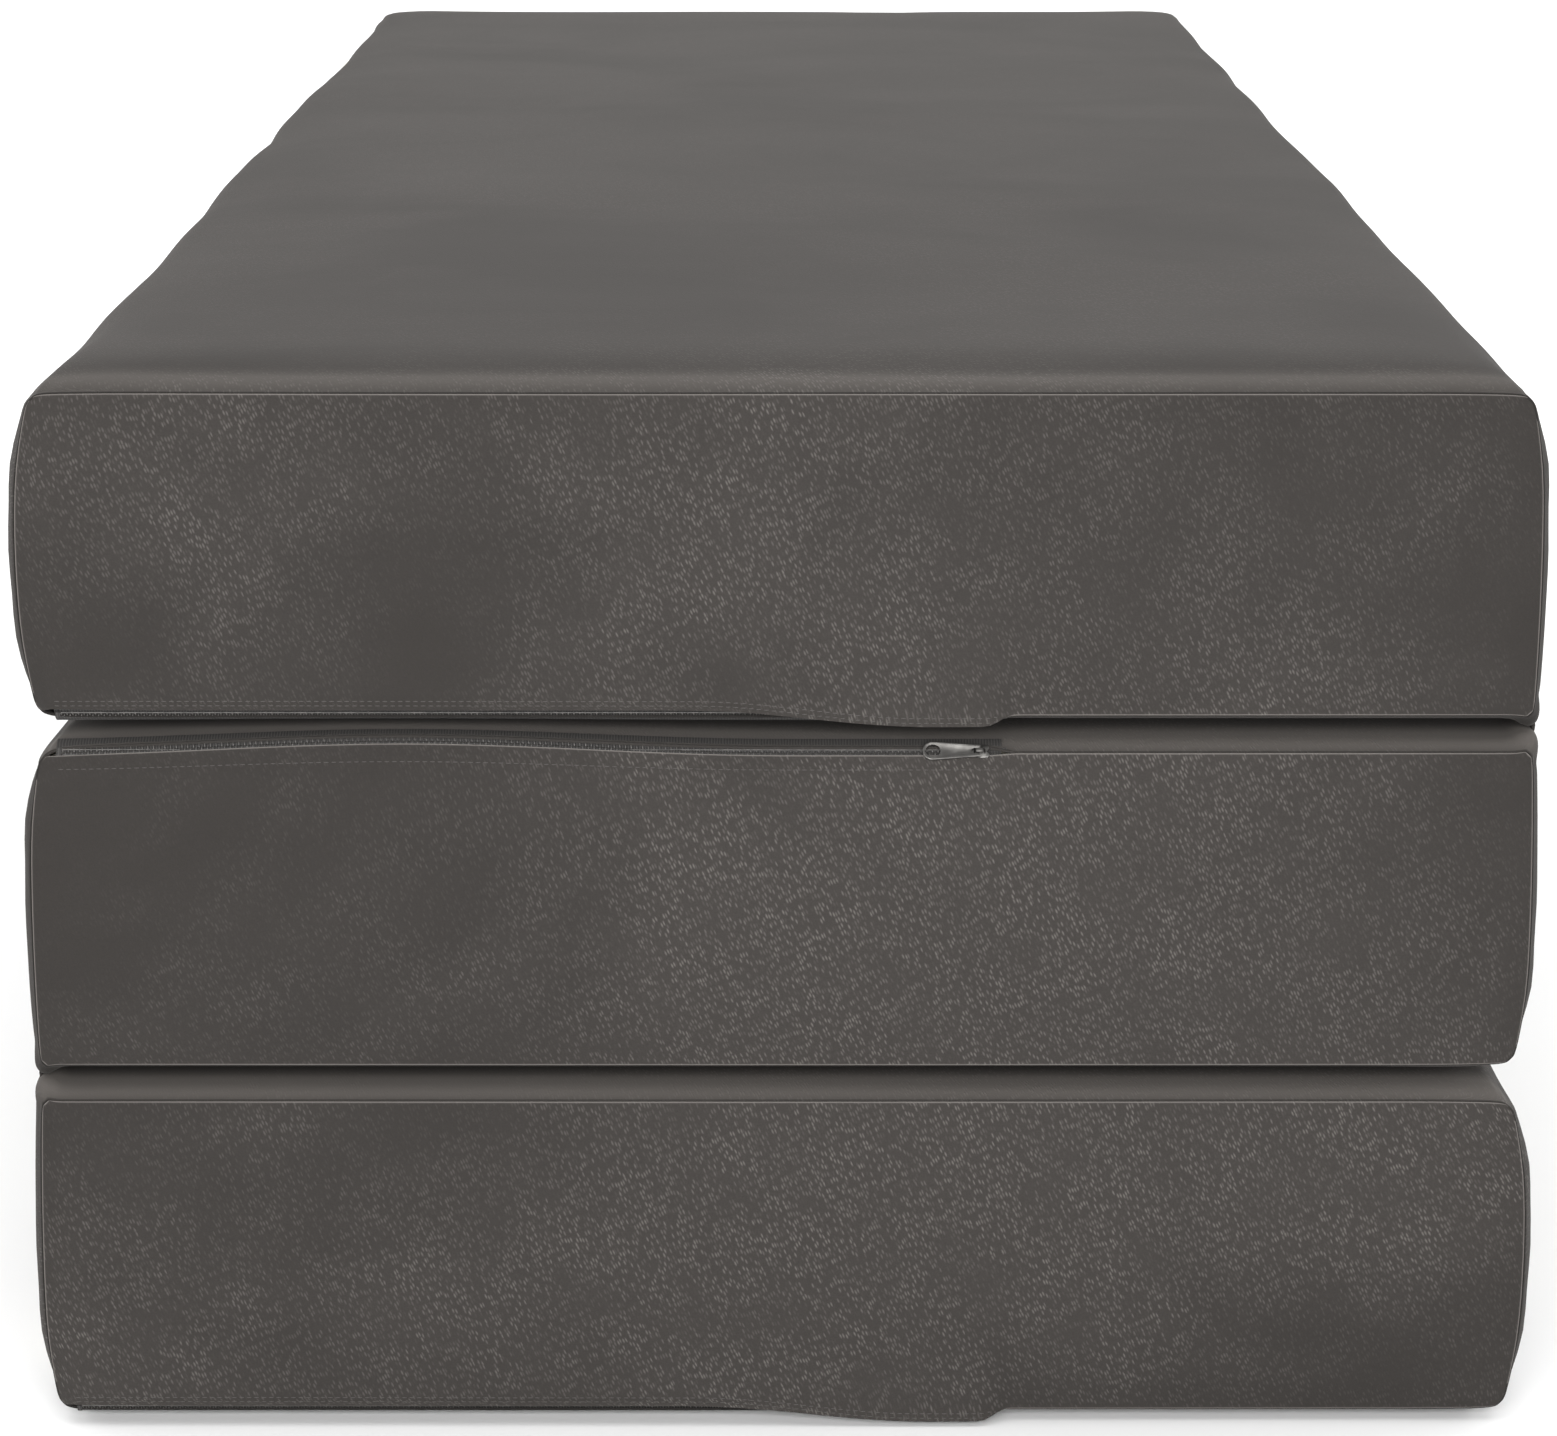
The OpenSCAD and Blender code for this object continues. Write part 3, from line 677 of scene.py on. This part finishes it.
def coil_row(side):
    """One row: a wire loop for each tooth, leaning on a cord that the tape's stitches hold."""
    middle = (coil_low + coil_high) / 2
    reach = (coil_half + coil_lap) / 2
    start = coil_x0 + (0 if side > 0 else coil_pitch / 2)
    bpy.ops.mesh.primitive_torus_add(
        major_segments=coil_sides, minor_segments=wire_sides,
        major_radius=reach - wire_r, minor_radius=wire_r,
        location=(start, side * (coil_half - reach), middle), rotation=(0, math.pi / 2, coil_lean * side))
    loops = bpy.context.object
    bpy.ops.object.transform_apply(location=True, rotation=True, scale=True)
    set_active(loops)
    bpy.ops.object.mode_set(mode="EDIT")
    bpy.ops.mesh.select_all(action="SELECT")
    flatness = (coil_high - coil_low) / (2 * reach)
    bpy.ops.transform.resize(value=(1, 1, flatness), center_override=(start, 0, middle))
    bpy.ops.object.mode_set(mode="OBJECT")
    repeat = loops.modifiers.new("repeat", "ARRAY")
    repeat.use_relative_offset, repeat.use_constant_offset = False, True
    repeat.constant_offset_displace = (coil_pitch, 0, 0)
    repeat.count = int((slider_x - coil_end - start) / coil_pitch)
    bpy.ops.object.modifier_apply(modifier="repeat")
    length = slider_x - coil_end - coil_x0
    bpy.ops.mesh.primitive_cylinder_add(
        vertices=8, radius=cord_r, depth=length, rotation=(0, math.pi / 2, 0),
        location=(coil_x0 + length / 2, side * (coil_half - cord_inside * wire_r - cord_r), middle))
    cord = bpy.context.object
    bpy.ops.object.transform_apply(location=True, rotation=True, scale=True)
    return [loops, cord]


def tape_pair():
    """Two woven tapes that curve with the roll and meet under the coils."""
    tapes = []
    for side in (-1, 1):
        bpy.ops.mesh.primitive_grid_add(x_subdivisions=24, y_subdivisions=5, size=2)
        tape = bpy.context.object
        mid_x = (zip_x0 + zip_x1 + tape_edge) / 2
        for v in tape.data.vertices:
            around = side * (tape_part + (tape_half - tape_part) * (v.co.y + 1) / 2)
            along = mid_x + v.co.x * (zip_x1 + tape_edge - zip_x0) / 2
            v.co = (along, tape_r * math.sin(around / tape_r), tape_r * math.cos(around / tape_r))
        set_active(tape)
        bpy.ops.object.mode_set(mode="EDIT")
        bpy.ops.mesh.select_all(action="SELECT")
        if tape.data.polygons[0].normal.z < 0:
            bpy.ops.mesh.flip_normals()
        bpy.ops.object.mode_set(mode="OBJECT")
        thickness = tape.modifiers.new("thickness", "SOLIDIFY")
        thickness.thickness, thickness.offset = tape_t, -1
        bpy.ops.object.modifier_apply(modifier="thickness")
        bpy.ops.object.shade_smooth_by_angle(angle=math.radians(40))
        tapes.append(tape)
    return tapes


def nylon_material():
    """Dyed nylon wire: dark warm grey with a soft shine along the wire."""
    nylon = bpy.data.materials.new("grey_nylon")
    nylon.use_nodes = True
    shader = nylon.node_tree.nodes["Principled BSDF"]
    place = shade(nylon, "TexCoord", {}).outputs["Object"]
    tone = shade(nylon, "TexNoise", {"Vector": place, "Scale": 420, "Detail": 2}).outputs["Fac"]
    tone = between(nylon, tone, 0.35, 0.65)
    colour = mixed(nylon, tone, (0.055, 0.052, 0.049, 1), (0.105, 0.099, 0.093, 1))
    nylon.node_tree.links.new(colour, shader.inputs["Base Color"])
    shader.inputs["Roughness"].default_value = 0.42
    return nylon


def tape_material():
    """Herringbone tape, nearly black, drawn as one set of fine ribs with a dull face."""
    tape = bpy.data.materials.new("woven_tape")
    tape.use_nodes = True
    shader = tape.node_tree.nodes["Principled BSDF"]
    place = shade(tape, "TexCoord", {}).outputs["Object"]
    ribs = shade(tape, "TexWave", {"Vector": place, "Scale": 260, "Distortion": 1.5}).outputs["Fac"]
    colour = mixed(tape, ribs, (0.018, 0.017, 0.016, 1), (0.045, 0.042, 0.040, 1))
    tape.node_tree.links.new(colour, shader.inputs["Base Color"])
    bump = shade(tape, "Bump", {"Height": ribs, "Strength": 0.4, "Distance": 0.0002})
    tape.node_tree.links.new(bump.outputs["Normal"], shader.inputs["Normal"])
    shader.inputs["Roughness"].default_value = 0.8
    return tape


def nickel_material():
    """Satin nickel, brushed along the zip, with a slightly darker patina in places."""
    nickel = bpy.data.materials.new("satin_nickel")
    nickel.use_nodes = True
    shader = nickel.node_tree.nodes["Principled BSDF"]
    place = shade(nickel, "TexCoord", {}).outputs["Object"]
    along = shade(nickel, "Mapping", {"Vector": place, "Scale": (60, 2600, 2600)}).outputs["Vector"]
    brushed = shade(nickel, "TexNoise", {"Vector": along, "Scale": 1, "Detail": 2}).outputs["Fac"]
    patina = shade(nickel, "TexNoise", {"Vector": place, "Scale": 180, "Detail": 2}).outputs["Fac"]
    patina = between(nickel, patina, 0.3, 0.7)
    colour = mixed(nickel, patina, (0.085, 0.082, 0.078, 1), (0.130, 0.126, 0.120, 1))
    nickel.node_tree.links.new(colour, shader.inputs["Base Color"])
    rough = shade(nickel, "MapRange", {"Value": brushed, "To Min": 0.34, "To Max": 0.50})
    nickel.node_tree.links.new(rough.outputs["Result"], shader.inputs["Roughness"])
    bump = shade(nickel, "Bump", {"Height": brushed, "Strength": 0.25, "Distance": 0.0001})
    nickel.node_tree.links.new(bump.outputs["Normal"], shader.inputs["Normal"])
    shader.inputs["Metallic"].default_value = 1
    return nickel


nylon, woven_tape, nickel = nylon_material(), tape_material(), nickel_material()
coils = join_all(coil_row(1) + coil_row(-1), "coils")
set_active(coils)
bpy.ops.object.shade_smooth_by_angle(angle=math.radians(50))
give_material(coils, nylon)
tapes = join_all(tape_pair(), "tapes")
give_material(tapes, woven_tape)
for panel in panel_names:
    for model, kind, node in ((coils, "coils", "chain"), (tapes, "tapes", "tape")):
        piece = bpy.data.objects.new(f"{panel}_zip_{kind}", model.data.copy())
        bpy.context.scene.collection.objects.link(piece)
        piece.data.name = piece.name
        piece.data.transform(zip_place(panel))
        for v in piece.data.vertices:
            v.co.z += fold_lift(*v.co)
        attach(piece, panel + "_panel")
        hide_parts(f"{panel}_zip_{node}")
    give_material(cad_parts[panel + "_zip_stops"], woven_tape)
bpy.data.objects.remove(coils)
bpy.data.objects.remove(tapes)

# Sliders and pulls: a die-cast slider of two plates on a wedge with a bridge on top, and a stamped
# pull tab with a raised rim, an oval grip hole and a small hole that turns on the bridge.
plate_t, low_plate_z, top_plate_z = 0.001, 0.0074, 0.0121
slider_l, slider_w, slider_tail = 0.009, 0.0058, 0.0042
bridge_w, bridge_half, bridge_t, bridge_top = 0.0016, 0.00255, 0.0008, 0.01565
pull_z, pull_t, pull_l, pull_w, pull_neck = 0.01395, 0.0012, 0.0247, 0.008, 0.005
rim_w, rim_depth, edge_r = 0.0007, 0.00022, 0.00022
grip_long, grip_wide, hole_long, hole_wide = 0.0064, 0.0052, 0.0034, 0.0024
wedge_long, wedge_wide, bridge_shoulder = 0.0028, 0.001, 1.25


def prism(points, low, high):
    """An upright prism: a corner ring from a circle, placed by its points, filled and raised."""
    bpy.ops.mesh.primitive_circle_add(vertices=len(points), radius=1, fill_type="NGON")
    solid = bpy.context.object
    for v, (x, y) in zip(solid.data.vertices, points):
        v.co = (x, y, low)
    set_active(solid)
    bpy.ops.object.mode_set(mode="EDIT")
    bpy.ops.mesh.select_all(action="SELECT")
    bpy.ops.mesh.extrude_region_move(TRANSFORM_OT_translate={"value": (0, 0, high - low)})
    bpy.ops.mesh.select_all(action="SELECT")
    bpy.ops.mesh.normals_make_consistent(inside=False)
    bpy.ops.object.mode_set(mode="OBJECT")
    return solid


def cut_away(solid, other):
    """Cuts another solid away from this one, and removes the other."""
    set_active(solid)
    cut = solid.modifiers.new("cut", "BOOLEAN")
    cut.operation, cut.object, cut.solver = "DIFFERENCE", other, "EXACT"
    bpy.ops.object.modifier_apply(modifier="cut")
    bpy.data.objects.remove(other)


def rounded(solid, width, segments=2):
    """Rounds the sharp edges of a solid."""
    set_active(solid)
    soft_edge = solid.modifiers.new("soft_edge", "BEVEL")
    soft_edge.width, soft_edge.segments = width, segments
    soft_edge.limit_method, soft_edge.angle_limit = "ANGLE", math.radians(35)
    bpy.ops.object.modifier_apply(modifier="soft_edge")
    bpy.ops.object.shade_smooth_by_angle(angle=math.radians(35))


def oval(x, length, width, count=32):
    """The corner points of an oval that lies along X."""
    steps = [2 * math.pi * k / count for k in range(count)]
    return [(x + length / 2 * math.cos(a), width / 2 * math.sin(a)) for a in steps]


def tab_outline(inset):
    """The pull's outline: a half circle at the free end, narrowing to the slider."""
    head, grip_x = pull_w / 2 - inset, -(pull_l - pull_w / 2 - pull_t / 2)
    turns = [math.pi / 2 + math.pi * k / 16 for k in range(17)]
    points = [(grip_x + head * math.cos(a), head * math.sin(a)) for a in turns]
    nose = pull_t / 2 - inset
    return points + [(nose, -pull_neck / 2 + inset), (nose, pull_neck / 2 - inset)]


def slider_solid():
    """The two plates, shaped like an arrow head, with their wedge and the bridge that holds the pull."""
    half, wide, tail = slider_l / 2, slider_w / 2, slider_tail / 2
    one_side = [(-half, -tail), (half * 0.3, -wide), (half * 0.75, -wide * 0.9), (half, -tail * 0.75)]
    plate = one_side + [(half * 0.72, 0)] + [(x, -y) for x, y in reversed(one_side)]
    body = prism(plate, top_plate_z, top_plate_z + plate_t)
    rounded(body, edge_r * 1.4)
    lower = prism(plate, low_plate_z, low_plate_z + plate_t)
    rounded(lower, edge_r)
    bridge_low = top_plate_z + plate_t / 2
    wedge = prism(oval(half * 0.35, wedge_long, wedge_wide, 16), low_plate_z + plate_t / 2, bridge_low)
    bpy.ops.object.shade_smooth_by_angle(angle=math.radians(35))
    rise = bridge_top - bridge_low
    outer, inner = [], []
    for k in range(9):
        x = -bridge_half * math.cos(math.pi * k / 8)
        h = min(1, math.sin(math.pi * k / 8) * bridge_shoulder)
        outer.append((x, bridge_low + rise * h))
        inner.append((x * (1 - bridge_t / bridge_half), bridge_low + (rise - bridge_t) * h))
    bridge = prism(outer + inner[::-1], -bridge_w / 2, bridge_w / 2)
    bridge.data.transform(Matrix.Rotation(math.pi / 2, 4, "X"))
    rounded(bridge, edge_r * 0.7)
    return join_all([body, lower, wedge, bridge], "slider")


def pull_solid():
    """The pull, with both faces sunk inside its rim and two holes through it."""
    tab = prism(tab_outline(0), -pull_t / 2, pull_t / 2)
    grip_x = -(pull_l - pull_w / 2 - pull_t / 2)
    for side in (-1, 1):
        low, high = sorted((side * (pull_t / 2 - rim_depth), side * pull_t))
        cut_away(tab, prism(tab_outline(rim_w), low, high))
    grip = prism(oval(grip_x + 0.0004, grip_long, grip_wide), -pull_t, pull_t)
    cut_away(tab, grip)
    hole = prism(oval(-hole_long / 2 - 0.0001, hole_long, hole_wide, 20), -pull_t, pull_t)
    cut_away(tab, hole)
    rounded(tab, edge_r * 0.6)
    return tab


slider_model, pull_model = slider_solid(), pull_solid()
for panel in panel_names:
    for model, part, lift in ((slider_model, "slider", 0), (pull_model, "pull", pull_z)):
        piece = bpy.data.objects.new(f"{panel}_{part}", model.data.copy())
        bpy.context.scene.collection.objects.link(piece)
        piece.data.name = piece.name
        piece.data.transform(zip_place(panel) @ Matrix.Translation((slider_x, 0, lift)))
        give_material(piece, nickel)
        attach(piece, f"{panel}_{part}")
        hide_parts(f"{panel}_zip_{part}")
bpy.data.objects.remove(slider_model)
bpy.data.objects.remove(pull_model)

# Hinge strips: doubled velvet that is sewn along the touching edges of two covers. It bows out a
# little between them, and lies over the joint when the bed is open.
strip_t, strip_bow, strip_end, strip_steps = 0.0014, 0.0024, 0.785, 6
strip_ripple, ripple_size, strip_slack = 0.0003, 0.03, 1.1
strip_corner = Vector((0.3179, 0, 0.0057))


def hinge_strip(name, lower, upper, side):
    """A narrow sheet between two panels, cut into cells and thickened."""
    fold_z = (levels[lower][1] + levels[upper][0]) / 2
    along_steps = round(2 * strip_end / cell_y)
    bpy.ops.mesh.primitive_grid_add(x_subdivisions=strip_steps, y_subdivisions=along_steps, size=2)
    strip = bpy.context.object
    strip.name = strip.data.name = name + "_cloth"
    layer = strip.data.uv_layers.active
    layer.name = "cloth"
    for v in strip.data.vertices:
        t, y = v.co.x * side, v.co.y * strip_end
        ripple = strip_ripple * noise.noise(Vector((t, y / ripple_size, fold_z)))
        bow = (strip_bow + ripple) * (1 - t * t)
        v.co = (side * (strip_corner.x + bow), y, fold_z + t * side * strip_corner.z)
    for loop in strip.data.loops:
        p = strip.data.vertices[loop.vertex_index].co
        layer.data[loop.index].uv = (p.z, p.y)
    set_active(strip)
    bpy.ops.object.mode_set(mode="EDIT")
    bpy.ops.mesh.select_all(action="SELECT")
    bpy.ops.mesh.normals_make_consistent(inside=False)
    bpy.ops.object.mode_set(mode="OBJECT")
    if strip.data.polygons[0].normal.x * side < 0:
        bpy.ops.object.mode_set(mode="EDIT")
        bpy.ops.mesh.flip_normals()
        bpy.ops.object.mode_set(mode="OBJECT")
    thickness = strip.modifiers.new("thickness", "SOLIDIFY")
    thickness.thickness, thickness.offset = strip_t, -1
    bpy.ops.object.modifier_apply(modifier="thickness")
    rounded(strip, cloth_rim)
    give_material(strip, velvet)
    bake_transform(strip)
    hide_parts(name)


hinge_strip("left_hinge_strip", "bottom", "middle", -1)
hinge_strip("right_hinge_strip", "middle", "top", 1)

lo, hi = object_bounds()
